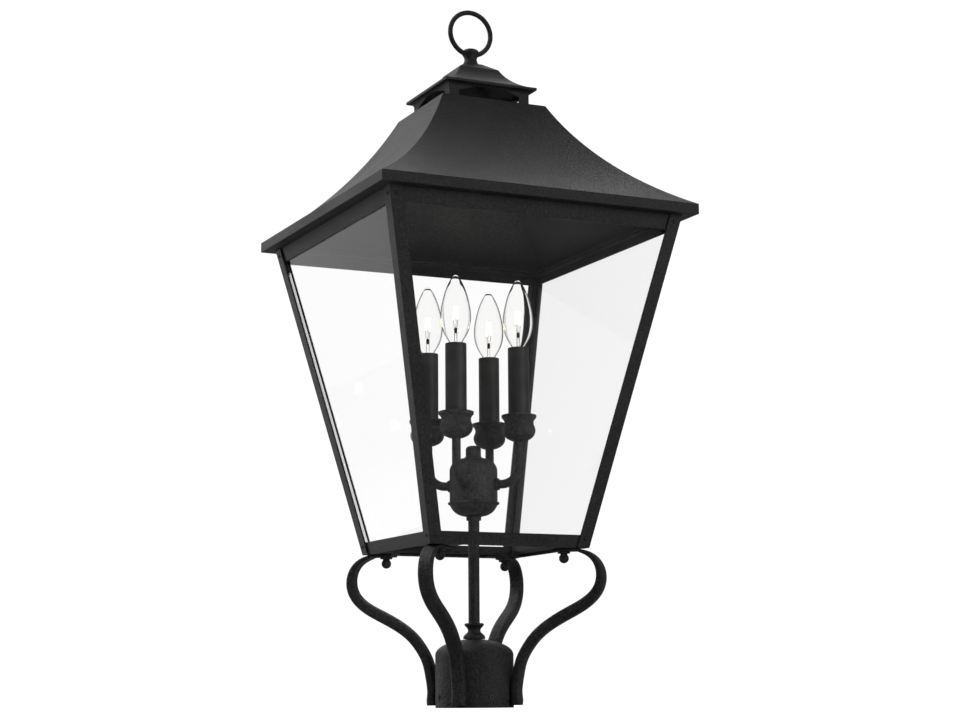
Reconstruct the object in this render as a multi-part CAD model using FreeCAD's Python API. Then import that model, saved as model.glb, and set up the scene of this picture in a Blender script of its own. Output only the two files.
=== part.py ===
import FreeCAD, Part
import math
import os

# Four-light post-top lantern. Millimetres, +Z up.
# Origin: centre of the post socket, on its bottom rim.
# -Y is the front face, -X the left face, +Y the back and +X the right.

V = FreeCAD.Vector
Z_AXIS = V(0, 0, 1)
ORIGIN = V(0, 0, 0)

# ---- post socket ----
post_r = 38.1
socket_gap = 0.5
socket_r = post_r + socket_gap
socket_wall = 2.7
socket_or = socket_r + socket_wall
socket_wall_h = 55.0
dome_h = 16.5

# ---- set screws ----
set_screw_z = 11.0
set_screw_r = 2.45
set_screw_gap = 0.05
set_screw_len = 3.4
set_screw_socket_af = 2.5
set_screw_socket_depth = 1.6

# ---- scroll legs ----
leg_width = 15.2
leg_foot_z = 2.5
leg_foot_thick = 10.6
leg_tip_thick = 3.0
leg_corner_share = 0.36
leg_strap_out = 15.0
leg_strap_in = 9.5
# Lower bends of the leg's centreline: outward from the socket wall, height, thickness.
leg_low_bends = [
    (5.3, 14.0, 10.6), (5.7, 23.0, 10.5), (7.4, 33.0, 10.4), (11.2, 48.5, 10.4),
    (17.8, 61.0, 10.5), (27.2, 73.0, 10.8),
]
# Upper bends: outward from the ball screw, down from the frame's bottom, thickness.
leg_high_bends = [
    (-16.4, 78.3, 11.4), (5.4, 66.3, 11.9), (26.1, 54.4, 10.9), (37.1, 42.3, 9.8),
    (40.4, 30.0, 9.0), (38.1, 18.0, 7.2), (32.5, 10.0, 5.6), (23.4, 4.3, 4.3),
]

# ---- lantern frame ----
frame_bottom_z = 163.6
frame_h = 346.2
frame_bottom_half = 90.8
frame_flare = 0.2198
post_flange = 14.0
post_thick = 2.0
rail_thick = 2.0
rail_end_gap = 1.0
bottom_rail_h = 13.2
top_rail_h = 15.3
ledge_depth = 4.5
ledge_thick = 1.6
ledge_z = 3.4
gusset_leg = 34.0
gusset_thick = 1.8
rivet_r = 2.3
rivet_head = 1.1
rivet_bottom_z = 9.2
rivet_top_z = 7.6

# ---- glass ----
glass_thick = 3.0
glass_edge = 9.5
glass_top_gap = 6.0

# ---- ball screws under the corners ----
ball_inset = 19.8
ball_r = 5.2
ball_drop = 10.0
ball_washer_r = 6.6
ball_washer_h = 1.9
ball_neck_r = 3.7
ball_shank_r = 2.5

# ---- roof ----
eave_overhang = 12.9
fascia_h = 10.8
roof_rise = 124.4
roof_top_half = 61.0
roof_hollow = 12.4
sheet = 1.8
roof_vent_half = 40.0
ring_lip = 9.9
ring_thick = 1.8

# ---- vent cupola and cap ----
cupola_half = 47.6
cupola_h = 18.7
cupola_cove = 5.0
cupola_wall = 2.0
arch_post_w = 11.6
arch_sill = 3.6
arch_spring = 10.6
arch_top_gap = 1.1
cap_half = 54.3
cap_lip = 2.8
cap_hollow = 4.4
cap_break_half = 23.1
cap_break_rise = 27.8
cap_top_half = 9.5
cap_top_rise = 36.7

# ---- finial ----
spool_base_r = 8.9
spool_neck_r = 6.9
spool_head_r = 9.3
spool_h = 19.0
hoop_r = 24.4
hoop_wire_r = 2.7
hoop_sink = 6.7

# ---- stem ----
stem_r = 6.0
stem_bore_r = 4.2
nipple_step = 1.1
stem_top_z = 262.0
locknut_rim = 3.1
locknut_h = 4.0
nipple_end = 2.4

# ---- hub ----
hub_r = 25.6
hub_bottom_z = 216.5
hub_body_h = 34.5
hub_wall = 2.0
hub_shoulder_h = 12.0
bead_out = 1.9
bowl_h = 15.0
bowl_neck_wall = 1.9
bowl_neck_h = 4.5
knob_wall = 2.2
knob_h = 14.0

# ---- candle arms ----
candle_radius = 52.0
arm_r = 4.65
arm_bore_r = 3.4
arm_z = 234.5
arm_straight = 3.6
arm_inside = 4.6
arm_top_z = 300.0
entry_ring_wall = 1.75
entry_ring_len = 2.8

# ---- candles ----
cup_bottom_z = 279.6
cup_margin = 7.3
cup_dish_gap = 3.0
sleeve_r = 11.3
sleeve_wall = 1.2
cup_seat_h = 23.9
sleeve_h = 76.5
holder_wall = 2.35
holder_bottom_z = 342.0
holder_h = 31.0
holder_stalk_r = 4.4
bulb_base_gap = 0.3

# ---- lamps ----
base_r = 5.95
base_h = 19.0
base_lift = 2.4
glass_neck_r = 5.9
bulb_r = 16.2
bulb_h = 83.5
bulb_wall = 0.9

# ---- sizes and levels that follow from the values above ----
frame_top_z = frame_bottom_z + frame_h
frame_top_half = frame_bottom_half + frame_flare * frame_h
ball_spread = frame_bottom_half - ball_inset
eave_half = frame_top_half + eave_overhang
ring_inner_half = frame_top_half - ring_lip
arch_half = cupola_half - arch_post_w
nipple_r = stem_r - nipple_step
locknut_af = 2.0 * (nipple_r + locknut_rim)
bowl_neck_r = stem_r + bowl_neck_wall
knob_r = stem_r + knob_wall
bead_r = hub_r + bead_out
arm_start = hub_r - arm_inside
arm_bend_r = candle_radius - hub_r - entry_ring_len - arm_straight
entry_ring_r = arm_r + entry_ring_wall
cup_rim_r = sleeve_r + cup_margin
sleeve_bottom_z = cup_bottom_z + cup_seat_h
holder_r = base_r + bulb_base_gap + holder_wall
roof_top_z = frame_top_z + fascia_h + roof_rise
cupola_top_z = roof_top_z + cupola_h
cap_top_z = cupola_top_z + cap_top_rise
dome_top_z = socket_wall_h + dome_h
ledge_top_z = frame_bottom_z + ledge_z + ledge_thick
holder_top_z = holder_bottom_z + holder_h
base_z = holder_top_z - base_h - base_lift
bulb_z = base_z + base_h
CORNERS = [
    ("front_left", 225.0), ("front_right", 315.0),
    ("back_right", 45.0), ("back_left", 135.0),
]
SIDES = [("front", 0.0), ("right", 90.0), ("back", 180.0), ("left", 270.0)]


def turned(shape, angle):
    copy = shape.copy()
    copy.rotate(ORIGIN, Z_AXIS, angle)
    return copy


def tube(r_out, r_in, z, h):
    return Part.makeCylinder(r_out, h, V(0, 0, z)).cut(Part.makeCylinder(r_in, h, V(0, 0, z)))


def radial_cylinder(r, start, length, z, angle):
    body = Part.makeCylinder(r, length, V(start, 0, z), V(1, 0, 0))
    return turned(body, angle)


def face_xz(points):
    loop = [V(x, 0, z) for x, z in points]
    return Part.Face(Part.makePolygon(loop + [loop[0]]))


def revolved(points):
    return face_xz(points).revolve(ORIGIN, Z_AXIS, 360)


def smooth_revolved(runs):
    """Turn a closed half-section whose runs of points are joined end to end.

    A run of two points is a straight line; a longer one is a smooth curve.
    """
    edges = []
    for run in runs:
        pts = [V(x, 0, z) for x, z in run]
        if len(pts) == 2:
            edges.append(Part.makeLine(pts[0], pts[1]))
        else:
            curve = Part.BSplineCurve()
            curve.interpolate(pts)
            edges.append(curve.toShape())
    return Part.Face(Part.Wire(edges)).revolve(ORIGIN, Z_AXIS, 360)


def hexagon(af, z, h):
    r = af / math.sqrt(3.0)
    pts = [V(r * math.cos(math.radians(60 * i)), r * math.sin(math.radians(60 * i)), z)
           for i in range(6)]
    return Part.Face(Part.makePolygon(pts + [pts[0]])).extrude(V(0, 0, h))


# ---- post socket ----

def post_socket():
    outer = [[(0, 0), (socket_or, 0)], [(socket_or, 0), (socket_or, socket_wall_h)]]
    steps = [i * 15.0 for i in range(7)]
    dome = [(socket_or * math.cos(math.radians(a)),
             socket_wall_h + dome_h * math.sin(math.radians(a))) for a in steps]
    dome[-1] = (0, dome_top_z)
    outer.append(dome)
    outer.append([(0, dome_top_z), (0, 0)])
    solid = smooth_revolved(outer)
    inner_h = dome_h - socket_wall
    hollow = [[(0, -1), (socket_r, -1)], [(socket_r, -1), (socket_r, socket_wall_h)]]
    inner = [(socket_r * math.cos(math.radians(a)),
              socket_wall_h + inner_h * math.sin(math.radians(a))) for a in steps]
    inner[-1] = (0, socket_wall_h + inner_h)
    hollow.append(inner)
    hollow.append([(0, socket_wall_h + inner_h), (0, -1)])
    solid = solid.cut(smooth_revolved(hollow))
    solid = solid.cut(Part.makeCylinder(nipple_r, dome_h + 2, V(0, 0, dome_top_z - dome_h)))
    hole_r = set_screw_r + set_screw_gap
    for i in range(4):
        hole = radial_cylinder(hole_r, socket_r - 3, socket_wall + 6, set_screw_z, 90 * i)
        solid = solid.cut(hole)
    return solid


def set_screw(angle):
    start = socket_r + 0.05
    screw = Part.makeCylinder(set_screw_r, set_screw_len, V(start, 0, 0), V(1, 0, 0))
    key = hexagon(set_screw_socket_af, 0, set_screw_socket_depth)
    key.rotate(ORIGIN, V(0, 1, 0), 90)
    key.translate(V(start + set_screw_len - set_screw_socket_depth, 0, 0))
    screw = screw.cut(key)
    screw.translate(V(0, 0, set_screw_z))
    return turned(screw, angle)


# ---- scroll legs ----

def leg_stations():
    foot_r = socket_or + leg_foot_thick / 2.0
    stations = [(foot_r, leg_foot_z, leg_foot_thick)]
    for out, z, thick in leg_low_bends:
        stations.append((socket_or + out, z, thick))
    ball_at = ball_spread * math.sqrt(2.0)
    for out, down, thick in leg_high_bends:
        stations.append((ball_at + out, frame_bottom_z - down, thick))
    strap_start = ball_at + leg_strap_out
    stations.append((strap_start, frame_bottom_z - leg_tip_thick / 2.0, leg_tip_thick))
    return stations


def rounded_section(centre, along, thick):
    """A rounded rectangle across the bar; along is the bar's direction in the XZ plane."""
    across = V(-along.z, 0, along.x)
    side = V(0, 1, 0)
    a = thick / 2.0
    b = leg_width / 2.0
    r = thick * leg_corner_share
    k = r * (1.0 - math.sqrt(0.5))

    def at(u, w):
        return centre + across * u + side * w

    edges = []
    quarter = [(1, 1), (-1, 1), (-1, -1), (1, -1)]
    ends = []
    for su, sw in quarter:
        on_a = at(su * a, sw * (b - r))
        mid = at(su * (a - k), sw * (b - k))
        on_b = at(su * (a - r), sw * b)
        ends.append((on_a, mid, on_b))
    for i in range(4):
        first = ends[i]
        if i % 2:
            first = (first[2], first[1], first[0])
        nxt = ends[(i + 1) % 4]
        if (i + 1) % 2:
            nxt = (nxt[2], nxt[1], nxt[0])
        edges.append(Part.Arc(first[0], first[1], first[2]).toShape())
        edges.append(Part.makeLine(first[2], nxt[0]))
    return Part.Wire(edges)


def scroll_leg(angle):
    stations = leg_stations()
    spine = Part.BSplineCurve()
    spine.interpolate([V(r, 0, z) for r, z, thick in stations])
    sections = []
    last = len(stations) - 1
    for i, (r, z, thick) in enumerate(stations):
        point = V(r, 0, z)
        along = spine.tangent(spine.parameter(point))[0]
        if i == 0:
            along = V(0, 0, 1)
        if i == last:
            along = V(-1, 0, 0)
        sections.append(rounded_section(point, along, thick))
    bar = Part.makeLoft(sections, True, False)
    bar = bar.cut(Part.makeCylinder(socket_or, dome_top_z + 10, V(0, 0, -5)))
    r, z, thick = stations[last]
    strap_face = Part.Face(rounded_section(V(r, 0, z), V(-1, 0, 0), thick))
    strap = strap_face.extrude(V(-leg_strap_out - leg_strap_in, 0, 0))
    leg = bar.fuse(strap)
    leg = leg.cut(Part.makeBox(400, 400, 60, V(-200, -200, frame_bottom_z)))
    shank = Part.makeCylinder(ball_shank_r, 40, V(ball_spread * math.sqrt(2.0), 0, 140))
    leg = leg.cut(shank)
    return turned(leg, angle)


def ball_screws():
    under = frame_bottom_z - leg_tip_thick
    washer_z = under - ball_washer_h
    ball_z = frame_bottom_z - ball_drop
    top_z = frame_bottom_z + gusset_thick
    at = ball_spread * math.sqrt(2.0)
    out = []
    for name, angle in CORNERS:
        washer = Part.makeCylinder(ball_washer_r, ball_washer_h, V(at, 0, washer_z))
        neck = Part.makeCylinder(ball_neck_r, washer_z - ball_z, V(at, 0, ball_z))
        ball = Part.makeSphere(ball_r, V(at, 0, ball_z))
        shank = Part.makeCylinder(ball_shank_r, top_z - washer_z, V(at, 0, washer_z))
        screw = washer.fuse([neck, ball, shank]).removeSplitter()
        out.append(turned(screw, angle))
    return Part.makeCompound(out)


# ---- lantern frame ----

def half_at(z):
    return frame_bottom_half + frame_flare * (z - frame_bottom_z)


def sloped_panel(z0, z1, edge, offset, thick):
    """A panel on the front face: edge is its distance from each corner, offset its depth."""
    pts = []
    for z, sign in ((z0, -1), (z0, 1), (z1, 1), (z1, -1)):
        half = half_at(z)
        pts.append(V(sign * (half - edge), -half + offset, z))
    return Part.Face(Part.makePolygon(pts + [pts[0]])).extrude(V(0, thick, 0))


def corner_post():
    """The post at the front right corner (+X, -Y)."""
    h = frame_bottom_half
    f = post_flange
    t = post_thick
    pts = [(h, -h), (h - f, -h), (h - f, -h + t), (h - t, -h + t), (h - t, -h + f), (h, -h + f)]
    loop = [V(x, y, frame_bottom_z) for x, y in pts]
    face = Part.Face(Part.makePolygon(loop + [loop[0]]))
    run = frame_flare * frame_h
    post = face.extrude(V(run, -run, frame_h))
    for z in (frame_bottom_z + rivet_bottom_z, frame_top_z - rivet_top_z):
        post = post.cut(rivet_shank(z, post_flange / 2.0))
        post = post.cut(rivet_shank_side(z, post_flange / 2.0))
    return post


def rivet_shank(z, edge):
    """The hole of a front-face rivet near the front right corner."""
    half = half_at(z)
    depth = post_thick + rail_thick
    reach = 1.0
    return Part.makeCylinder(rivet_r * 0.6, depth + 2 * reach,
                             V(half - edge, -half - reach, z), V(0, 1, 0))


def rivet_shank_side(z, edge):
    """The hole of a right-face rivet near the front right corner."""
    half = half_at(z)
    depth = post_thick + rail_thick
    reach = 1.0
    return Part.makeCylinder(rivet_r * 0.6, depth + 2 * reach,
                             V(half + reach, -half + edge, z), V(-1, 0, 0))


def rail_holes(panel, z):
    for sign in (-1, 1):
        hole = rivet_shank(z, post_flange / 2.0)
        if sign < 0:
            hole = hole.mirror(ORIGIN, V(1, 0, 0))
        panel = panel.cut(hole)
    return panel


def bottom_rail():
    """The bottom rail of the front face, with the ledge that carries the glass."""
    edge = post_thick + rail_thick + rail_end_gap
    rail = sloped_panel(frame_bottom_z, frame_bottom_z + bottom_rail_h, edge, post_thick, rail_thick)
    z0 = frame_bottom_z + ledge_z
    half = half_at(z0)
    reach = half - post_flange
    y0 = -half + post_thick + rail_thick
    ledge = Part.makeBox(2 * reach, ledge_depth + 1.0, ledge_thick, V(-reach, y0 - 1.0, z0))
    wedge = sloped_panel(frame_bottom_z, frame_bottom_z + bottom_rail_h, edge, -4, post_thick + 4)
    rail = rail.fuse(ledge.cut(wedge)).removeSplitter()
    return rail_holes(rail, frame_bottom_z + rivet_bottom_z)


def top_frame():
    """Four top rails welded to the flat ring that the roof sits down over."""
    edge = post_thick + rail_thick + rail_end_gap
    z0 = frame_top_z - top_rail_h
    rail = sloped_panel(z0, frame_top_z, edge, post_thick, rail_thick)
    rail = rail_holes(rail, frame_top_z - rivet_top_z)
    outer = eave_half - sheet
    ring = Part.makeBox(2 * outer, 2 * outer, ring_thick, V(-outer, -outer, frame_top_z))
    inner = ring_inner_half
    ring = ring.cut(Part.makeBox(2 * inner, 2 * inner, ring_thick, V(-inner, -inner, frame_top_z)))
    rails = [turned(rail, angle) for name, angle in SIDES]
    return ring.fuse(rails)


def corner_gussets():
    inset = post_thick + rail_thick
    c = half_at(frame_bottom_z) - inset
    g = gusset_leg
    pts = [(c, -c), (c, -c + g), (c - g * 0.35, -c + g), (c - g, -c + g * 0.35), (c - g, -c)]
    loop = [V(x, y, frame_bottom_z) for x, y in pts]
    plate = Part.Face(Part.makePolygon(loop + [loop[0]])).extrude(V(0, 0, gusset_thick))
    shank = Part.makeCylinder(ball_shank_r, 40, V(ball_spread, -ball_spread, 140))
    plate = plate.cut(shank)
    return Part.makeCompound([turned(plate, angle) for name, angle in SIDES])


def frame_rivets():
    """Domed rivets that join each post to the rails behind it."""
    out = []
    slope = math.atan(frame_flare)
    for z in (frame_bottom_z + rivet_bottom_z, frame_top_z - rivet_top_z):
        half = half_at(z)
        depth = post_thick + rail_thick
        for sign in (-1, 1):
            x = sign * (half - post_flange / 2.0)
            shank = Part.makeCylinder(rivet_r * 0.6, depth + 0.6, V(x, -half - 0.3, z), V(0, 1, 0))
            dome_r = (rivet_r ** 2 + rivet_head ** 2) / (2 * rivet_head)
            normal = V(0, -math.cos(slope), -math.sin(slope))
            centre = V(x, -half, z) - normal * (dome_r - rivet_head)
            ball = Part.makeSphere(dome_r, centre)
            keep = Part.makeCylinder(rivet_r * 1.3, rivet_head * 2, V(x, -half, z), normal)
            rivet = shank.fuse(ball.common(keep)).removeSplitter()
            out.append(rivet)
    solids = []
    for name, angle in SIDES:
        for rivet in out:
            solids.append(turned(rivet, angle))
    return Part.makeCompound(solids)


def glass_pane():
    offset = post_thick + rail_thick
    return sloped_panel(ledge_top_z, frame_top_z - glass_top_gap, glass_edge, offset, glass_thick)


# ---- roof, vent and finial ----

def circle_through(p1, p2, p3):
    ax, ay = p1
    bx, by = p2
    cx, cy = p3
    d = 2.0 * (ax * (by - cy) + bx * (cy - ay) + cx * (ay - by))
    a2 = ax * ax + ay * ay
    b2 = bx * bx + by * by
    c2 = cx * cx + cy * cy
    ux = (a2 * (by - cy) + b2 * (cy - ay) + c2 * (ay - by)) / d
    uy = (a2 * (cx - bx) + b2 * (ax - cx) + c2 * (bx - ax)) / d
    return ux, uy, math.hypot(ax - ux, ay - uy)


def hollow_circle(low, high, hollow):
    """The circle through two points of a roof's outline, sinking by hollow between them."""
    dx = high[0] - low[0]
    dz = high[1] - low[1]
    span = math.hypot(dx, dz)
    mid = ((low[0] + high[0]) / 2.0 - hollow * dz / span,
           (low[1] + high[1]) / 2.0 + hollow * dx / span)
    return circle_through(low, mid, high)


def sag_z(circle, x):
    """Height of a hollow curve at x, on the lower side of its circle."""
    cx, cz, r = circle
    return cz - math.sqrt(r * r - (x - cx) ** 2)


def sag_x(circle, z):
    cx, cz, r = circle
    return cx - math.sqrt(r * r - (z - cz) ** 2)


def four_sided(right_side):
    """A four-sided solid whose section is right_side, a list of edges in the XZ plane.

    The edges run from the bottom to the top at positive X.
    """
    wire = Part.Wire(right_side)
    first = wire.OrderedVertexes[0].Point
    last = wire.OrderedVertexes[-1].Point
    left = [edge.mirror(ORIGIN, V(1, 0, 0)) for edge in right_side]
    left_wire = Part.Wire(left)
    bottom = Part.makeLine(V(-first.x, 0, first.z), first)
    top = Part.makeLine(last, V(-last.x, 0, last.z))
    loop = Part.Wire(Part.__sortEdges__(wire.Edges + left_wire.Edges + [bottom, top]))
    face = Part.Face(loop)
    reach = 500.0
    face.translate(V(0, -reach, 0))
    along = face.extrude(V(0, 2 * reach, 0))
    return along.common(turned(along, 90))


def arc_edge(circle, x0, z0, x1, z1):
    xm = (x0 + x1) / 2.0
    zm = sag_z(circle, xm)
    return Part.Arc(V(x0, 0, z0), V(xm, 0, zm), V(x1, 0, z1)).toShape()


def line_edge(x0, z0, x1, z1):
    return Part.makeLine(V(x0, 0, z0), V(x1, 0, z1))


def roof_shell():
    eave_z = frame_top_z
    knee_z = eave_z + fascia_h
    circle = hollow_circle((eave_half, knee_z), (roof_top_half, roof_top_z), roof_hollow)
    outer = four_sided([
        line_edge(eave_half, eave_z, eave_half, knee_z),
        arc_edge(circle, eave_half, knee_z, roof_top_half, roof_top_z),
    ])
    under = (circle[0], circle[1], circle[2] + sheet)
    x0 = eave_half - sheet
    z0 = sag_z(under, x0)
    z1 = roof_top_z - sheet
    x1 = sag_x(under, z1)
    inner = four_sided([
        line_edge(x0, eave_z - 5, x0, z0),
        arc_edge(under, x0, z0, x1, z1),
    ])
    shell = outer.cut(inner)
    hole = roof_vent_half
    shell = shell.cut(Part.makeBox(2 * hole, 2 * hole, 40, V(-hole, -hole, roof_top_z - 20)))
    return shell


def vent_cupola():
    z0 = roof_top_z
    cove_z = cupola_top_z - cupola_cove
    flare = cupola_half + cupola_cove
    k = cupola_cove * (1.0 - math.sqrt(0.5))
    cove = Part.Arc(V(cupola_half, 0, cove_z), V(cupola_half + k, 0, cupola_top_z - k),
                    V(flare, 0, cupola_top_z)).toShape()
    outer = four_sided([line_edge(cupola_half, z0, cupola_half, cove_z), cove])
    r = cupola_cove + cupola_wall
    inner_x = cupola_half - cupola_wall
    turn = math.radians(22.5)
    knee = V(flare - r * math.cos(turn), 0, cove_z + r * math.sin(turn))
    end_z = cupola_top_z
    end_x = flare - math.sqrt(r * r - (end_z - cove_z) ** 2)
    inner_cove = Part.Arc(V(inner_x, 0, cove_z), knee, V(end_x, 0, end_z)).toShape()
    inner = four_sided([line_edge(inner_x, z0, inner_x, cove_z), inner_cove])
    shell = outer.cut(inner)
    sill = z0 + arch_sill
    spring = z0 + arch_spring
    top = cupola_top_z - arch_top_gap
    edges = [
        line_edge(-arch_half, sill, arch_half, sill),
        line_edge(arch_half, sill, arch_half, spring),
        Part.Arc(V(arch_half, 0, spring), V(0, 0, top), V(-arch_half, 0, spring)).toShape(),
        line_edge(-arch_half, spring, -arch_half, sill),
    ]
    arch = Part.Face(Part.Wire(edges))
    arch.translate(V(0, -100, 0))
    through = arch.extrude(V(0, 200, 0))
    shell = shell.cut(through)
    return shell.cut(turned(through, 90))


def vent_cap():
    z0 = cupola_top_z
    lip_z = z0 + cap_lip
    edge = (cap_break_half, z0 + cap_break_rise)
    circle = hollow_circle((cap_half, lip_z), edge, cap_hollow)
    outer = four_sided([
        line_edge(cap_half, z0, cap_half, lip_z),
        arc_edge(circle, cap_half, lip_z, edge[0], edge[1]),
        line_edge(edge[0], edge[1], cap_top_half, cap_top_z),
    ])
    under = (circle[0], circle[1], circle[2] + sheet)
    x0 = cap_half - sheet
    lip_in = sag_z(under, x0)
    drop = sheet * 1.2
    x1 = sag_x(under, edge[1] - drop)
    inner = four_sided([
        line_edge(x0, z0 - 5, x0, lip_in),
        arc_edge(under, x0, lip_in, x1, edge[1] - drop),
        line_edge(x1, edge[1] - drop, cap_top_half - 1, cap_top_z - drop),
    ])
    return outer.cut(inner)


def hoop_tool():
    centre_z = cap_top_z + spool_h - hoop_sink + hoop_r
    return Part.makeTorus(hoop_r, hoop_wire_r, V(0, 0, centre_z), V(0, 1, 0))


def finial_spool():
    z = cap_top_z
    h = spool_h
    side = [
        (spool_base_r, z + 1.2), (spool_neck_r + 0.4, z + 0.24 * h), (spool_neck_r, z + 0.38 * h),
        (spool_neck_r + 0.7, z + 0.50 * h), (spool_head_r, z + 0.66 * h),
    ]
    crown = [
        (spool_head_r, z + 0.80 * h), (spool_head_r * 0.86, z + 0.91 * h),
        (spool_head_r * 0.5, z + 0.985 * h), (0, z + h),
    ]
    spool = smooth_revolved([
        [(0, z), (spool_base_r, z)],
        [(spool_base_r, z), side[0]],
        side,
        [side[-1], crown[0]],
        crown,
        [(0, z + h), (0, z)],
    ])
    return spool.cut(hoop_tool())


# ---- stem and hub ----

def locknut_top():
    """Height where the nut's corners meet the curved inside of the dome."""
    corner = locknut_af / math.sqrt(3.0)
    inner_h = dome_h - socket_wall
    return socket_wall_h + inner_h * math.sqrt(1.0 - (corner / socket_r) ** 2) - 0.2


def stem_tube():
    nipple_z = locknut_top() - locknut_h - nipple_end
    nipple = Part.makeCylinder(nipple_r, dome_top_z - nipple_z, V(0, 0, nipple_z))
    tube_body = Part.makeCylinder(stem_r, stem_top_z - dome_top_z, V(0, 0, dome_top_z))
    stem = nipple.fuse(tube_body).removeSplitter()
    bore_z = nipple_z - 1
    return stem.cut(Part.makeCylinder(stem_bore_r * 0.8, stem_top_z - bore_z - 8, V(0, 0, bore_z)))


def stem_locknut():
    top = locknut_top()
    nut = hexagon(locknut_af, top - locknut_h, locknut_h)
    return nut.cut(Part.makeCylinder(nipple_r, locknut_h, V(0, 0, top - locknut_h)))


def stem_collar():
    z = dome_top_z
    pts = [
        (0.0, 0.0), (5.6, 0.0), (5.6, 1.4), (5.2, 3.4), (3.7, 4.9), (2.5, 6.0), (1.3, 6.9),
        (0.7, 8.2), (0.7, 9.8), (1.3, 11.2), (2.6, 12.6), (3.7, 13.7), (4.3, 14.7), (4.3, 15.8),
        (3.2, 16.6), (0.0, 16.6),
    ]
    return revolved([(stem_r + out, z + up) for out, up in pts])


def hub_body():
    z0 = hub_bottom_z
    z1 = z0 + hub_body_h
    top = z1 + hub_shoulder_h
    shoulder = [(hub_r, z1), (hub_r - 1.1, z1 + 3.4), (hub_r - 3.2, z1 + 6.8),
                (hub_r - 6.8, z1 + 9.9), (knob_r + 2.5, top)]
    outer = smooth_revolved([
        [(0, z0), (hub_r, z0)],
        [(hub_r, z0), (hub_r, z1)],
        shoulder,
        [shoulder[-1], (0, top)],
        [(0, top), (0, z0)],
    ])
    t = hub_wall
    inner_side = [(hub_r - t, z1), (hub_r - 1.1 - t, z1 + 2.6), (hub_r - 3.2 - t, z1 + 5.2),
                  (hub_r - 6.8 - t, z1 + 7.6), (knob_r + 1.0, top - t)]
    inner = smooth_revolved([
        [(0, z0 - 1), (hub_r - t, z0 - 1)],
        [(hub_r - t, z0 - 1), (hub_r - t, z1)],
        inner_side,
        [inner_side[-1], (0, top - t)],
        [(0, top - t), (0, z0 - 1)],
    ])
    shell = outer.cut(inner)
    shell = shell.cut(Part.makeCylinder(stem_r, 40, V(0, 0, top - 20)))
    for name, angle in CORNERS:
        shell = shell.cut(radial_cylinder(arm_r, hub_r - 8, 16, arm_z, angle))
    return shell


def hub_bowl():
    z1 = hub_bottom_z
    bead = 2.6
    low = z1 - bowl_h
    neck_z = low - bowl_neck_h
    side = [(hub_r, z1 - bead - 0.6), (hub_r - 1.7, z1 - 6.2), (hub_r - 3.6, z1 - 9.0),
            (hub_r - 7.6, z1 - 12.4), (bowl_neck_r + 2.8, low)]
    outer = smooth_revolved([
        [(0, z1), (hub_r, z1)],
        [(hub_r, z1), (bead_r, z1 - 0.7)],
        [(bead_r, z1 - 0.7), (bead_r, z1 - bead + 0.4)],
        [(bead_r, z1 - bead + 0.4), (hub_r, z1 - bead - 0.6)],
        side,
        [(bowl_neck_r + 2.8, low), (bowl_neck_r, low - 0.8)],
        [(bowl_neck_r, low - 0.8), (bowl_neck_r, neck_z)],
        [(bowl_neck_r, neck_z), (0, neck_z)],
        [(0, neck_z), (0, z1)],
    ])
    t = hub_wall
    inner_side = [(hub_r - t, z1 - 3.0), (hub_r - 1.9 - t, z1 - 5.4), (hub_r - 4.4 - t, z1 - 8.2),
                  (hub_r - 9.4 - t, z1 - 11.2), (bowl_neck_r + 1.0, low + t)]
    inner = smooth_revolved([
        [(0, z1 + 1), (hub_r - t, z1 + 1)],
        [(hub_r - t, z1 + 1), (hub_r - t, z1 - 3.0)],
        inner_side,
        [inner_side[-1], (0, low + t)],
        [(0, low + t), (0, z1 + 1)],
    ])
    bowl = outer.cut(inner)
    return bowl.cut(Part.makeCylinder(stem_r, bowl_h + 20, V(0, 0, neck_z - 2)))


def hub_knob():
    z0 = hub_bottom_z + hub_body_h + hub_shoulder_h
    z1 = z0 + knob_h
    knob = smooth_revolved([
        [(0, z0), (knob_r + 1.3, z0)],
        [(knob_r + 1.3, z0), (knob_r + 1.3, z0 + 1.2)],
        [(knob_r + 1.3, z0 + 1.2), (knob_r, z0 + 2.2)],
        [(knob_r, z0 + 2.2), (knob_r, z1 - 4.5)],
        [(knob_r, z1 - 4.5), (knob_r * 0.93, z1 - 2.4), (knob_r * 0.68, z1 - 0.7),
         (knob_r * 0.3, z1 - 0.1), (0, z1)],
        [(0, z1), (0, z0)],
    ])
    return knob.cut(Part.makeCylinder(stem_r, stem_top_z - z0 + 30, V(0, 0, stem_top_z - 30)))


# ---- candles ----

def arm_sweep(r):
    bend_x = candle_radius - arm_bend_r
    bend_z = arm_z + arm_bend_r
    k = arm_bend_r * (1.0 - math.sqrt(0.5))
    path = Part.Wire([
        Part.makeLine(V(arm_start, 0, arm_z), V(bend_x, 0, arm_z)),
        Part.Arc(V(bend_x, 0, arm_z), V(candle_radius - k, 0, arm_z + k),
                 V(candle_radius, 0, bend_z)).toShape(),
        Part.makeLine(V(candle_radius, 0, bend_z), V(candle_radius, 0, arm_top_z)),
    ])
    ring = Part.Wire(Part.makeCircle(r, V(arm_start, 0, arm_z), V(1, 0, 0)))
    return path.makePipeShell([ring], True, True)


def candle_arm(angle):
    return turned(arm_sweep(arm_r).cut(arm_sweep(arm_bore_r)), angle)


def arm_collars():
    out = []
    hub = Part.makeCylinder(hub_r, hub_body_h, V(0, 0, hub_bottom_z))
    for name, angle in CORNERS:
        length = hub_r + entry_ring_len - arm_start
        ring = Part.makeCylinder(entry_ring_r, length, V(arm_start, 0, arm_z), V(1, 0, 0))
        ring = ring.cut(hub)
        ring = ring.cut(Part.makeCylinder(arm_r, 40, V(arm_start - 5, 0, arm_z), V(1, 0, 0)))
        ring = turned(ring, angle)
        out.append(ring)
    return Part.makeCompound(out)


def at_candle(shape, angle):
    copy = shape.copy()
    copy.translate(V(candle_radius, 0, 0))
    return turned(copy, angle)


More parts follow.
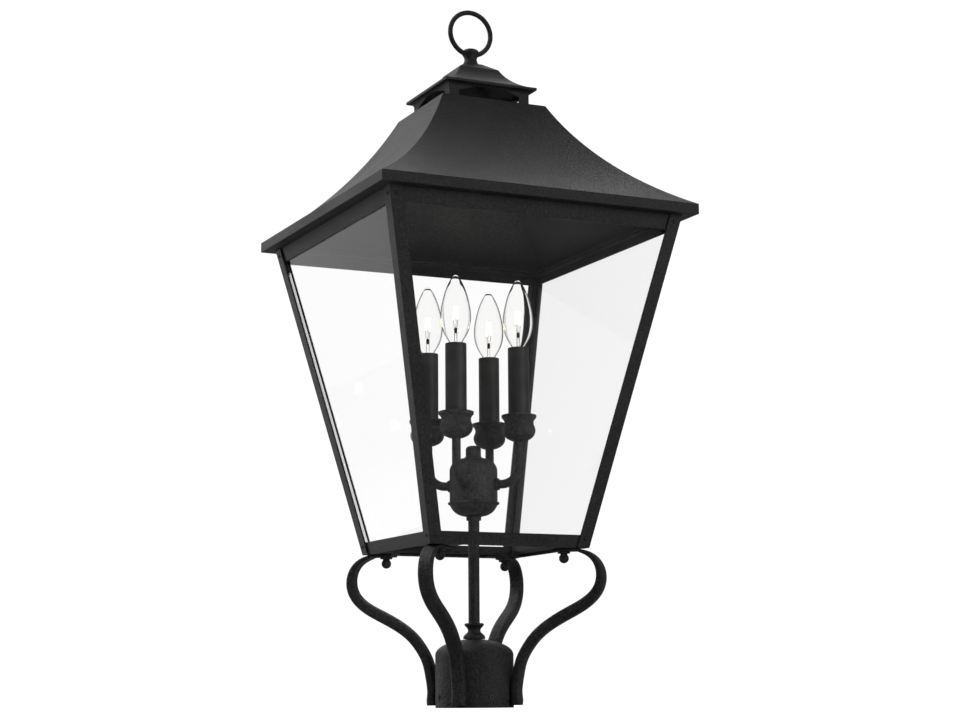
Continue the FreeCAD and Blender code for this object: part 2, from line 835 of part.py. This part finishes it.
def candle_cup():
    z = cup_bottom_z
    rim = cup_rim_r
    side = [
        (rim - 9.2, z + 0.9), (rim - 5.4, z + 2.9), (rim - 2.3, z + 6.6), (rim - 1.1, z + 11.2),
        (rim - 1.7, z + 14.6), (rim - 2.9, z + 17.8), (rim - 3.0, z + 20.2),
        (rim - 1.8, z + 22.9), (rim - 0.3, z + 24.6),
    ]
    rim_z = z + 28.2
    seat = sleeve_r + cup_dish_gap
    dish = [(rim - 1.6, rim_z), (seat + 1.7, rim_z - 2.4), (seat, sleeve_bottom_z)]
    return smooth_revolved([
        [(arm_r, z), (arm_r + 2.95, z)],
        [(arm_r + 2.95, z), side[0]],
        side,
        [side[-1], (rim, z + 25.4)],
        [(rim, z + 25.4), (rim, rim_z - 0.6)],
        [(rim, rim_z - 0.6), dish[0]],
        dish,
        [dish[-1], (arm_r, sleeve_bottom_z)],
        [(arm_r, sleeve_bottom_z), (arm_r, z)],
    ])


def candle_sleeve():
    body = tube(sleeve_r, sleeve_r - sleeve_wall, sleeve_bottom_z, sleeve_h)
    rim = [edge for edge in body.Edges
           if abs(edge.BoundBox.ZMin - sleeve_bottom_z - sleeve_h) < 0.01
           and abs(edge.BoundBox.XMax - sleeve_r) < 0.01]
    return body.makeFillet(0.5, rim)


def lamp_holder():
    """The candle lampholder inside one sleeve, on the stalk that rises from the arm."""
    body = Part.makeCylinder(holder_r, holder_h, V(0, 0, holder_bottom_z))
    bore_r = base_r + bulb_base_gap
    bore = Part.makeCylinder(bore_r, base_h + base_lift + 2, V(0, 0, base_z - 0.4))
    stalk = Part.makeCylinder(holder_stalk_r, holder_bottom_z - arm_top_z, V(0, 0, arm_top_z))
    return body.cut(bore).fuse(stalk).removeSplitter()


def lamp_holders():
    return Part.makeCompound([at_candle(lamp_holder(), angle) for name, angle in CORNERS])


def bulb_profile(shrink):
    """The lamp glass from its neck to its tip; shrink insets it for the inside."""
    rows = [
        (0.125, 0.42), (0.19, 0.62), (0.27, 0.83), (0.36, 0.96), (0.46, 1.0), (0.56, 0.965),
        (0.66, 0.865), (0.76, 0.73), (0.85, 0.56), (0.92, 0.39), (0.965, 0.25), (0.99, 0.13),
    ]
    tip_h = bulb_h - 2.0 * shrink
    pts = [(glass_neck_r - shrink, bulb_z), (glass_neck_r - shrink, bulb_z + 3.0)]
    curve = [pts[-1]]
    for share_z, share_r in rows:
        if share_z * bulb_h < tip_h - 0.5:
            curve.append((bulb_r * share_r - shrink, bulb_z + share_z * bulb_h))
    curve.append((0, bulb_z + tip_h))
    return pts, curve


def bulb_glass():
    pts, curve = bulb_profile(0.0)
    tip = curve[-1][1]
    outer = smooth_revolved([
        [(0, bulb_z), pts[0]], pts, curve, [(0, tip), (0, bulb_z)],
    ])
    pts, curve = bulb_profile(bulb_wall)
    pts[0] = (pts[0][0], bulb_z - 1)
    tip = curve[-1][1]
    inner = smooth_revolved([
        [(0, bulb_z - 1), pts[0]], pts, curve, [(0, tip), (0, bulb_z - 1)],
    ])
    return outer.cut(inner)


def bulb_base():
    shell = Part.makeCylinder(base_r, base_h - 4.0, V(0, 0, base_z + 4.0))
    taper = Part.makeCone(3.4, base_r, 3.0, V(0, 0, base_z + 1.0))
    tip = Part.makeCylinder(2.2, 1.0, V(0, 0, base_z))
    return shell.fuse([taper, tip]).removeSplitter()


# ---- write the nodes ----

def all_nodes():
    nodes = {
        "post_socket": post_socket(),
        "ball_screws": ball_screws(),
        "corner_gussets": corner_gussets(),
        "frame_rivets": frame_rivets(),
        "top_frame": top_frame(),
        "roof_shell": roof_shell(),
        "vent_cupola": vent_cupola(),
        "vent_cap": vent_cap(),
        "finial_spool": finial_spool(),
        "finial_hoop": hoop_tool(),
        "stem_tube": stem_tube(),
        "stem_locknut": stem_locknut(),
        "stem_collar": stem_collar(),
        "hub_body": hub_body(),
        "hub_bowl": hub_bowl(),
        "hub_knob": hub_knob(),
        "arm_collars": arm_collars(),
        "lamp_holders": lamp_holders(),
    }
    cup = candle_cup()
    sleeve = candle_sleeve()
    glass = bulb_glass()
    base = bulb_base()
    for name, angle in CORNERS:
        nodes["scroll_leg_" + name] = scroll_leg(angle)
        nodes["corner_post_" + name] = turned(corner_post(), angle - 315.0)
        nodes["candle_arm_" + name] = candle_arm(angle)
        nodes["candle_cup_" + name] = at_candle(cup, angle)
        nodes["candle_sleeve_" + name] = at_candle(sleeve, angle)
        nodes["bulb_glass_" + name] = at_candle(glass, angle)
        nodes["bulb_base_" + name] = at_candle(base, angle)
    for name, angle in SIDES:
        nodes["bottom_rail_" + name] = turned(bottom_rail(), angle)
        nodes["glass_pane_" + name] = turned(glass_pane(), angle)
        nodes["set_screw_" + name] = set_screw(angle - 90.0)
    return nodes


os.makedirs("parts", exist_ok=True)
for node, shape in all_nodes().items():
    shape.exportStep("parts/" + node + ".step")
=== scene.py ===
import math

import bpy
from mathutils import Matrix, Vector

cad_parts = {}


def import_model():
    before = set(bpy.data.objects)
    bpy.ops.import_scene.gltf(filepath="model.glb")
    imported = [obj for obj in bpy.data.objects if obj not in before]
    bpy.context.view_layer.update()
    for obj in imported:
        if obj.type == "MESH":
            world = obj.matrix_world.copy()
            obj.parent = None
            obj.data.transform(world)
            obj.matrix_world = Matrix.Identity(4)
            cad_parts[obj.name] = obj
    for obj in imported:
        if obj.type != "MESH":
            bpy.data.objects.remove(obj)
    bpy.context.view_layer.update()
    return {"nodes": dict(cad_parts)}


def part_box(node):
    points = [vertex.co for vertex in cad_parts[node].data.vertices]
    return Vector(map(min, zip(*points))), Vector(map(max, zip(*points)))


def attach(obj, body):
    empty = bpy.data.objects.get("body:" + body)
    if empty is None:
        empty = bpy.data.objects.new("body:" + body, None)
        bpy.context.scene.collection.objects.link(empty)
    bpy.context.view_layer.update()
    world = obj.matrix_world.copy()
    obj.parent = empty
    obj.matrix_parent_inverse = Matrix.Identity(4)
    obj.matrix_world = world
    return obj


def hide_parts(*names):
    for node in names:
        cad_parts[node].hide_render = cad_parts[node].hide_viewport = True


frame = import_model()
NODES = frame["nodes"]
# The direction of each corner from the centre, in degrees from +X.
CORNERS = {"front_left": 225, "front_right": 315, "back_right": 45, "back_left": 135}
MM = 0.001


# ---------------------------------------------------------------- materials

def material(name):
    """A material with one Principled shader, and the object's own coordinates."""
    mat = bpy.data.materials.new(name)
    mat.use_nodes = True
    tree = mat.node_tree
    tree.nodes.clear()
    out = tree.nodes.new("ShaderNodeOutputMaterial")
    bsdf = tree.nodes.new("ShaderNodeBsdfPrincipled")
    tree.links.new(bsdf.outputs[0], out.inputs[0])
    coords = tree.nodes.new("ShaderNodeTexCoord")
    return mat, tree, bsdf, coords


def noise(tree, coords, scale, detail, rough):
    node = tree.nodes.new("ShaderNodeTexNoise")
    node.inputs["Scale"].default_value = scale
    node.inputs["Detail"].default_value = detail
    node.inputs["Roughness"].default_value = rough
    tree.links.new(coords.outputs["Object"], node.inputs["Vector"])
    return node


def ramp(tree, source, stops):
    """A colour ramp; each stop is (position, grey level or colour)."""
    node = tree.nodes.new("ShaderNodeValToRGB")
    while len(node.color_ramp.elements) < len(stops):
        node.color_ramp.elements.new(0.5)
    for element, (at, value) in zip(node.color_ramp.elements, stops):
        element.position = at
        if not isinstance(value, tuple):
            value = (value, value, value)
        element.color = (*value, 1.0)
    tree.links.new(source, node.inputs[0])
    return node


def bump(tree, bsdf, layers):
    """Stack bump layers, each (height output, strength, distance in metres)."""
    last = None
    for height, strength, distance in layers:
        node = tree.nodes.new("ShaderNodeBump")
        node.inputs["Strength"].default_value = strength
        node.inputs["Distance"].default_value = distance
        tree.links.new(height, node.inputs["Height"])
        if last:
            tree.links.new(last.outputs[0], node.inputs["Normal"])
        last = node
    tree.links.new(last.outputs[0], bsdf.inputs["Normal"])


def coat(name, dark, light, grain, grain_height, rough_low, rough_high, lumps=0.0):
    """Sand-textured black powder coat: fine grains over a faintly uneven colour."""
    cloud_scale, grain_share = 14.0, 0.7
    lump_scale, fine_ratio = 120.0, 2.3
    mat, tree, bsdf, coords = material(name)
    cloud = noise(tree, coords, cloud_scale, 4.0, 0.6)
    grains = noise(tree, coords, grain, 4.0, 0.72)
    cloud_part = tree.nodes.new("ShaderNodeMath")
    cloud_part.operation = "MULTIPLY"
    cloud_part.inputs[1].default_value = 1.0 - grain_share
    tree.links.new(cloud.outputs[0], cloud_part.inputs[0])
    mix = tree.nodes.new("ShaderNodeMath")
    mix.operation = "MULTIPLY_ADD"
    mix.inputs[1].default_value = grain_share
    tree.links.new(grains.outputs[0], mix.inputs[0])
    tree.links.new(cloud_part.outputs[0], mix.inputs[2])
    colour = ramp(tree, mix.outputs[0], [(0.42, dark), (0.6, light)])
    tree.links.new(colour.outputs[0], bsdf.inputs["Base Color"])
    rough = ramp(tree, mix.outputs[0], [(0.38, rough_low), (0.62, rough_high)])
    tree.links.new(rough.outputs[0], bsdf.inputs["Roughness"])
    bsdf.inputs["Specular IOR Level"].default_value = 0.4
    fine = noise(tree, coords, grain * fine_ratio, 1.0, 0.5)
    layers = [(grains.outputs[0], 0.9, grain_height), (fine.outputs[0], 0.6, grain_height * 0.4)]
    if lumps:
        waves = noise(tree, coords, lump_scale, 3.0, 0.5)
        layers.append((waves.outputs[0], 0.7, lumps))
    bump(tree, bsdf, layers)
    return mat


def clear(name, tint, rough, smudge, gloss, ior):
    """Clear glass; light on its way to what is behind it goes straight through."""
    mat, tree, bsdf, coords = material(name)
    bsdf.inputs["Base Color"].default_value = (*tint, 1.0)
    bsdf.inputs["Transmission Weight"].default_value = 1.0
    bsdf.inputs["IOR"].default_value = ior
    bsdf.inputs["Specular IOR Level"].default_value = gloss
    film_scale, roll_scale, roll_depth = 6.0, 3.5, 0.2 * MM
    film = noise(tree, coords, film_scale, 5.0, 0.6)
    rough_map = ramp(tree, film.outputs[0], [(0.35, rough), (0.75, rough + smudge)])
    tree.links.new(rough_map.outputs[0], bsdf.inputs["Roughness"])
    roll = noise(tree, coords, roll_scale, 1.0, 0.4)
    bump(tree, bsdf, [(roll.outputs[0], 0.05, roll_depth)])
    out = next(n for n in tree.nodes if n.type == "OUTPUT_MATERIAL")
    bare = tree.nodes.new("ShaderNodeBsdfTransparent")
    bare.inputs["Color"].default_value = (*tint, 1.0)
    path = tree.nodes.new("ShaderNodeLightPath")
    mix = tree.nodes.new("ShaderNodeMixShader")
    tree.links.new(path.outputs["Is Shadow Ray"], mix.inputs[0])
    tree.links.new(bsdf.outputs[0], mix.inputs[1])
    tree.links.new(bare.outputs[0], mix.inputs[2])
    tree.links.new(mix.outputs[0], out.inputs[0])
    return mat


def metal(name, dark, light, rough_low, rough_high):
    """Bare or plated metal with a fine grain."""
    grain_scale, grain_depth = 400.0, 0.03 * MM
    mat, tree, bsdf, coords = material(name)
    bsdf.inputs["Metallic"].default_value = 1.0
    grain = noise(tree, coords, grain_scale, 4.0, 0.6)
    colour = ramp(tree, grain.outputs[0], [(0.3, dark), (0.7, light)])
    tree.links.new(colour.outputs[0], bsdf.inputs["Base Color"])
    rough = ramp(tree, grain.outputs[0], [(0.3, rough_low), (0.7, rough_high)])
    tree.links.new(rough.outputs[0], bsdf.inputs["Roughness"])
    bump(tree, bsdf, [(grain.outputs[0], 0.3, grain_depth)])
    return mat


def moulded(name, dark, light, rough_low, rough_high):
    """Smooth moulded surface with a faint orange peel."""
    cloud_scale, peel_scale, peel_depth = 60.0, 700.0, 0.02 * MM
    mat, tree, bsdf, coords = material(name)
    cloud = noise(tree, coords, cloud_scale, 3.0, 0.5)
    colour = ramp(tree, cloud.outputs[0], [(0.3, dark), (0.7, light)])
    tree.links.new(colour.outputs[0], bsdf.inputs["Base Color"])
    rough = ramp(tree, cloud.outputs[0], [(0.3, rough_low), (0.7, rough_high)])
    tree.links.new(rough.outputs[0], bsdf.inputs["Roughness"])
    peel = noise(tree, coords, peel_scale, 1.0, 0.5)
    bump(tree, bsdf, [(peel.outputs[0], 0.15, peel_depth)])
    return mat


def glow(name, colour, strength):
    """A lit wire, slightly uneven along its coil."""
    coil_scale = 1200.0
    mat, tree, bsdf, coords = material(name)
    coil = noise(tree, coords, coil_scale, 1.0, 0.5)
    tint = ramp(tree, coil.outputs[0], [(0.3, tuple(c * 0.8 for c in colour)), (0.7, colour)])
    tree.links.new(tint.outputs[0], bsdf.inputs["Emission Color"])
    bsdf.inputs["Emission Strength"].default_value = strength
    bsdf.inputs["Base Color"].default_value = (*colour, 1.0)
    return mat


SHEET_COAT = coat("coat_sheet", 0.004, 0.038, 460.0, 0.0009, 0.42, 0.66)
CAST_COAT = coat("coat_cast", 0.003, 0.040, 360.0, 0.0012, 0.40, 0.68, lumps=0.0016)
TURNED_COAT = coat("coat_turned", 0.004, 0.034, 480.0, 0.0007, 0.38, 0.6)
SLEEVE = moulded("sleeve_satin", 0.008, 0.018, 0.30, 0.40)
HOLDER = moulded("holder_moulding", (0.03, 0.02, 0.012), (0.05, 0.035, 0.02), 0.25, 0.35)
PANE = clear("pane_clear", (0.994, 0.995, 0.995), 0.0, 0.01, 0.5, 1.27)
LAMP_GLASS = clear("lamp_clear", (0.99, 0.988, 0.984), 0.0, 0.01, 0.5, 1.15)
BUTTON = moulded("lamp_button_glass", (0.008, 0.007, 0.006), (0.03, 0.025, 0.02), 0.08, 0.16)
BRASS = metal("lamp_base_brass", (0.62, 0.45, 0.2), (0.83, 0.66, 0.36), 0.2, 0.36)
SOLDER = metal("lamp_tip_solder", (0.45, 0.45, 0.46), (0.62, 0.62, 0.64), 0.35, 0.5)
BLACK_STEEL = metal("screw_black_oxide", 0.03, 0.06, 0.35, 0.5)
PLAIN_STEEL = metal("nut_zinc", 0.42, 0.6, 0.28, 0.42)
WIRE = metal("lamp_wire_nickel", (0.3, 0.28, 0.26), (0.5, 0.47, 0.43), 0.25, 0.4)
FILAMENT = glow("lamp_filament", (1.0, 0.8, 0.52), 20.0)


def paint(obj, mat):
    """Give every material slot of a CAD node one material; its mesh stays as it is."""
    slots = obj.data.materials
    if len(slots) == 0:
        slots.append(mat)
    for i in range(len(slots)):
        slots[i] = mat


CAST = ("post_socket", "scroll_leg", "ball_screws", "candle_cup", "hub_", "finial_", "stem_collar")
SHEET = ("roof", "vent", "top_frame", "bottom_rail", "corner_", "frame_rivets")
for name, node in NODES.items():
    if name.startswith("glass_pane"):
        paint(node, PANE)
    elif name.startswith("bulb_glass"):
        paint(node, LAMP_GLASS)
    elif name.startswith("bulb_base"):
        paint(node, BRASS)
    elif name.startswith("set_screw"):
        paint(node, BLACK_STEEL)
    elif name == "stem_locknut":
        paint(node, PLAIN_STEEL)
    elif name == "lamp_holders":
        paint(node, HOLDER)
    elif name.startswith("candle_sleeve"):
        paint(node, SLEEVE)
    elif name.startswith(CAST):
        paint(node, CAST_COAT)
    elif name.startswith(SHEET):
        paint(node, SHEET_COAT)
    else:
        paint(node, TURNED_COAT)


# ---------------------------------------------------------------- mesh tools

def add_mesh(name, verts, faces, mat, smooth=True):
    mesh = bpy.data.meshes.new(name)
    mesh.from_pydata([tuple(v) for v in verts], [], faces)
    mesh.update()
    if smooth:
        mesh.polygons.foreach_set("use_smooth", [True] * len(mesh.polygons))
    obj = bpy.data.objects.new(name, mesh)
    bpy.context.scene.collection.objects.link(obj)
    mesh.materials.append(mat)
    return obj


def grid_faces(rows, cols):
    """Faces between rings of vertices, each ring closed on itself."""
    faces = []
    for i in range(rows - 1):
        for j in range(cols):
            a = i * cols + j
            b = i * cols + (j + 1) % cols
            faces.append((a, b, b + cols, a + cols))
    return faces


def lathe(name, profile, centre, mat, steps=64):
    """Turn (radius, height) points about a vertical axis; a zero radius closes the end."""
    on_axis = 1e-7
    verts, faces, rings = [], [], []
    for r, z in profile:
        if r < on_axis:
            rings.append([len(verts)])
            verts.append((centre[0], centre[1], z))
            continue
        ring = []
        for j in range(steps):
            a = 2 * math.pi * j / steps
            ring.append(len(verts))
            verts.append((centre[0] + r * math.cos(a), centre[1] + r * math.sin(a), z))
        rings.append(ring)
    for low, high in zip(rings, rings[1:]):
        for j in range(steps):
            k = (j + 1) % steps
            if len(low) == 1:
                faces.append((low[0], high[k], high[j]))
            elif len(high) == 1:
                faces.append((low[j], low[k], high[0]))
            else:
                faces.append((low[j], low[k], high[k], high[j]))
    return add_mesh(name, verts, faces, mat)


def wire(name, points, radius, mat, sides=8):
    """A round wire along points, with closed ends."""
    verts = []
    pts = [Vector(p) for p in points]
    side = None
    for i, p in enumerate(pts):
        ahead = pts[min(i + 1, len(pts) - 1)] - pts[max(i - 1, 0)]
        ahead.normalize()
        if side is None:
            side = ahead.orthogonal().normalized()
        side = (side - ahead * side.dot(ahead)).normalized()
        up = ahead.cross(side)
        for j in range(sides):
            a = 2 * math.pi * j / sides
            verts.append(p + (side * math.cos(a) + up * math.sin(a)) * radius)
    faces = grid_faces(len(pts), sides)
    faces.append(tuple(reversed(range(sides))))
    last = (len(pts) - 1) * sides
    faces.append(tuple(range(last, last + sides)))
    return add_mesh(name, verts, faces, mat)


# ---------------------------------------------------------------- lamps

THREAD_PITCH = 2.4 * MM
THREAD_DEPTH = 0.32 * MM
THREAD_START = 3.6 * MM
INSULATOR = [(0.0, 0.9), (2.6, 0.9), (3.9, 1.6), (4.9, 3.0), (5.0, 3.62), (0.0, 3.62)]
TIP = [(0.0, 0.0), (0.9, 0.05), (1.7, 0.3), (2.2, 0.7), (2.2, 0.95), (0.0, 0.95)]
MOUNT = [(0.0, 0.0), (3.4, 0.0), (2.6, 3.0), (1.7, 7.0), (1.2, 13.0), (1.0, 19.9), (0.0, 19.9)]
BUTTON_SHAPE = [(0.0, 20.0), (1.1, 20.3), (1.6, 21.6), (1.7, 23.4), (1.35, 25.2), (0.7, 26.2),
                (0.0, 26.4)]
MOUNT_LIFT = 0.4 * MM
LEAD_RADIUS = 0.26 * MM
STAY_RADIUS = 0.16 * MM
FILAMENT_RADIUS = 0.13 * MM
FILAMENT_HALF = 3.3 * MM
FILAMENT_FOOT = 35.0 * MM
FILAMENT_PEAK = 49.0 * MM
FILAMENT_TURN = 62
COIL_RADIUS = 0.55 * MM
COIL_TURNS = 18
COIL_STEPS = 10


def turned(name, shape, z, centre, mat, steps):
    """A turned piece whose (radius, height) points are in millimetres above z."""
    return lathe(name, [(r * MM, z + h * MM) for r, h in shape], centre, mat, steps)


def lamp_thread(corner, cx, cy, r, low_z, high_z):
    """Rolled thread: a true helix, with a plain collar above and a rounded end below."""
    rows, cols = 90, 40
    plain_from, fade_rate, end_share, end_cut = 0.78, 9, 0.06, 0.9 * MM
    z0 = low_z + THREAD_START
    verts = []
    for i in range(rows):
        t = i / (rows - 1)
        z = z0 + (high_z - z0) * t
        fade = min(1.0, max(0.0, (plain_from - t) * fade_rate)) * min(1.0, t * fade_rate)
        for j in range(cols):
            a = 2 * math.pi * j / cols
            turn = math.sin(2 * math.pi * (z / THREAD_PITCH) - a)
            rad = r - THREAD_DEPTH * fade * (0.5 - 0.5 * turn)
            rad -= end_cut * max(0.0, end_share - t) / end_share
            verts.append((cx + rad * math.cos(a), cy + rad * math.sin(a), z))
    faces = grid_faces(rows, cols)
    faces.append(tuple(reversed(range(cols))))
    faces.append(tuple(range((rows - 1) * cols, rows * cols)))
    thread = add_mesh("lamp_thread_" + corner, verts, faces, BRASS)
    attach(thread, "bulb_" + corner)
    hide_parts("bulb_base_" + corner)


def lamp_parts(corner):
    """The working parts of one lamp, all riding on its body."""
    body = "bulb_" + corner
    low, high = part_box("bulb_base_" + corner)
    cx = (low.x + high.x) / 2
    cy = (low.y + high.y) / 2
    lamp_thread(corner, cx, cy, (high.x - low.x) / 2, low.z, high.z)
    insulator = turned("lamp_insulator_" + corner, INSULATOR, low.z, (cx, cy), HOLDER, 32)
    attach(insulator, body)
    tip = turned("lamp_tip_" + corner, TIP, low.z, (cx, cy), SOLDER, 24)
    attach(tip, body)
    zb = high.z + MOUNT_LIFT
    mount = turned("lamp_mount_" + corner, MOUNT, zb, (cx, cy), LAMP_GLASS, 24)
    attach(mount, body)
    button = turned("lamp_button_" + corner, BUTTON_SHAPE, zb, (cx, cy), BUTTON, 24)
    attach(button, body)
    angle = math.radians(CORNERS[corner] + FILAMENT_TURN)
    ux, uy = math.cos(angle), math.sin(angle)
    half = FILAMENT_HALF
    z_foot = zb + FILAMENT_FOOT
    z_peak = zb + FILAMENT_PEAK

    def place(s, z, off=0.0):
        """A point s along the filament's plane and off to its side."""
        return (cx + ux * s - uy * off, cy + uy * s + ux * off, z)

    for side, label in ((-1, "a"), (1, "b")):
        lead = wire("lamp_lead_" + label + "_" + corner, [
            place(side * 1.9 * MM, zb - 0.2 * MM), place(side * 1.9 * MM, zb + 12 * MM),
            place(side * 2.1 * MM, zb + 22 * MM), place(side * 2.7 * MM, zb + 29 * MM),
            place(side * half, z_foot - 1 * MM), place(side * half, z_foot + 0.6 * MM),
        ], LEAD_RADIUS, WIRE)
        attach(lead, body)
        stay = wire("lamp_stay_" + label + "_" + corner, [
            place(side * 0.4 * MM, zb + 25.6 * MM, 0.3 * MM),
            place(side * 0.8 * MM, zb + 33 * MM, 0.8 * MM),
            place(side * half * 0.62, z_peak - 1.0 * MM, 0.6 * MM),
            place(side * half * 0.66, z_peak + 0.5 * MM, 0.1 * MM),
        ], STAY_RADIUS, WIRE)
        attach(stay, body)
    # The coiled filament goes up, down, up and down again between the two leads.
    bends = [(-half, z_foot), (-half * 0.66, z_peak), (0.0, z_foot + 2 * MM),
             (half * 0.66, z_peak), (half, z_foot)]
    coil = []
    for (s0, z0), (s1, z1) in zip(bends, bends[1:]):
        for i in range(COIL_TURNS * COIL_STEPS):
            t = i / (COIL_TURNS * COIL_STEPS)
            spin = 2 * math.pi * COIL_TURNS * t
            s = s0 + (s1 - s0) * t + COIL_RADIUS * math.cos(spin)
            coil.append(place(s, z0 + (z1 - z0) * t, COIL_RADIUS * math.sin(spin)))
    filament = wire("lamp_filament_" + corner, coil, FILAMENT_RADIUS, FILAMENT, 5)
    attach(filament, body)


for corner in CORNERS:
    lamp_parts(corner)


# ---------------------------------------------------------------- floor, light, camera

def seen_straight(tree):
    """1 where the surroundings are seen, bare or through clear glass; 0 in a reflection."""
    path = tree.nodes.new("ShaderNodeLightPath")
    through = tree.nodes.new("ShaderNodeMath")
    through.operation = "MAXIMUM"
    tree.links.new(path.outputs["Is Camera Ray"], through.inputs[0])
    tree.links.new(path.outputs["Is Transmission Ray"], through.inputs[1])
    straight = tree.nodes.new("ShaderNodeMath")
    straight.operation = "LESS_THAN"
    straight.inputs[1].default_value = 0.5
    tree.links.new(path.outputs["Glossy Depth"], straight.inputs[0])
    both = tree.nodes.new("ShaderNodeMath")
    both.operation = "MULTIPLY"
    tree.links.new(through.outputs[0], both.inputs[0])
    tree.links.new(straight.outputs[0], both.inputs[1])
    return both.outputs[0]


def floor():
    """A pale floor that looks white but throws little light back up at the lantern."""
    size = 30.0
    seen_level = 0.95
    z = -0.4 * MM
    mat, tree, bsdf, _ = material("studio_floor")
    bsdf.inputs["Base Color"].default_value = (0.32, 0.32, 0.32, 1.0)
    bsdf.inputs["Roughness"].default_value = 0.9
    bsdf.inputs["Specular IOR Level"].default_value = 0.1
    bsdf.inputs["Emission Color"].default_value = (1.0, 1.0, 1.0, 1.0)
    glow_level = tree.nodes.new("ShaderNodeMath")
    glow_level.operation = "MULTIPLY"
    glow_level.inputs[1].default_value = seen_level
    tree.links.new(seen_straight(tree), glow_level.inputs[0])
    tree.links.new(glow_level.outputs[0], bsdf.inputs["Emission Strength"])
    plane = add_mesh("studio_floor", [
        (-size, -size, z), (size, -size, z), (size, size, z), (-size, size, z),
    ], [(0, 1, 2, 3)], mat, smooth=False)


def world():
    """White where it is seen, and a dim even fill for everything else."""
    seen_level, fill_level = 1.04, 0.19
    sky = bpy.data.worlds.new("studio")
    bpy.context.scene.world = sky
    sky.use_nodes = True
    tree = sky.node_tree
    tree.nodes.clear()
    out = tree.nodes.new("ShaderNodeOutputWorld")
    seen = tree.nodes.new("ShaderNodeBackground")
    seen.inputs["Color"].default_value = (1.0, 1.0, 1.0, 1.0)
    seen.inputs["Strength"].default_value = seen_level
    fill = tree.nodes.new("ShaderNodeBackground")
    fill.inputs["Color"].default_value = (1.0, 1.0, 1.0, 1.0)
    fill.inputs["Strength"].default_value = fill_level
    mix = tree.nodes.new("ShaderNodeMixShader")
    tree.links.new(seen_straight(tree), mix.inputs[0])
    tree.links.new(fill.outputs[0], mix.inputs[1])
    tree.links.new(seen.outputs[0], mix.inputs[2])
    tree.links.new(mix.outputs[0], out.inputs[0])


def area_light(name, place, aim, size, power):
    """A soft panel, seen only by what it lights and by reflections."""
    data = bpy.data.lights.new(name, "AREA")
    data.shape = "RECTANGLE"
    data.size, data.size_y = size
    data.energy = power
    light = bpy.data.objects.new(name, data)
    bpy.context.scene.collection.objects.link(light)
    light.location = place
    turn = (Vector(aim) - Vector(place)).to_track_quat("-Z", "Y")
    light.rotation_euler = turn.to_euler()
    light.visible_camera = False
    light.visible_transmission = False


def camera():
    """The photograph's viewpoint: a long lens from low down, in front and to the left."""
    place = (-0.9127, -1.9587, 0.00983)
    heading, pitch, roll = math.radians(64.8), math.radians(9.47), math.radians(-0.40)
    data = bpy.data.cameras.new("view")
    data.lens = 76.05
    data.sensor_width = 36.0
    data.clip_start = 0.05
    data.clip_end = 60.0
    cam = bpy.data.objects.new("view", data)
    bpy.context.scene.collection.objects.link(cam)
    ahead = Vector((math.cos(heading) * math.cos(pitch), math.sin(heading) * math.cos(pitch),
                    math.sin(pitch)))
    right = Vector((math.sin(heading), -math.cos(heading), 0.0))
    up = right.cross(ahead)
    level_right = right * math.cos(roll) + up * math.sin(roll)
    level_up = up * math.cos(roll) - right * math.sin(roll)
    turn = Matrix((level_right, level_up, -ahead)).transposed()
    cam.matrix_world = Matrix.Translation(place) @ turn.to_4x4()
    bpy.context.scene.camera = cam


floor()
world()
area_light("key_top", (-1.7, 1.3, 3.1), (0.0, 0.0, 0.45), (2.2, 2.2), 72.0)
area_light("top_back", (1.3, 1.8, 3.4), (0.0, 0.0, 0.5), (2.0, 2.0), 22.0)
area_light("backdrop", (0.6, 4.2, 2.0), (0.0, 0.0, 0.5), (4.0, 2.0), 22.0)
area_light("panel_back_left", (-3.6, 3.4, 0.8), (0.0, 0.0, 0.4), (2.5, 2.0), 8.0)
area_light("side_glow", (-0.86, 1.77, 0.52), (-0.1, 0.0, 0.45), (0.9, 1.04), 3.8)
area_light("fill_front", (1.5, -3.1, 0.9), (0.0, 0.0, 0.4), (2.2, 1.4), 30.0)
camera()
bpy.context.scene.view_settings.view_transform = "Standard"
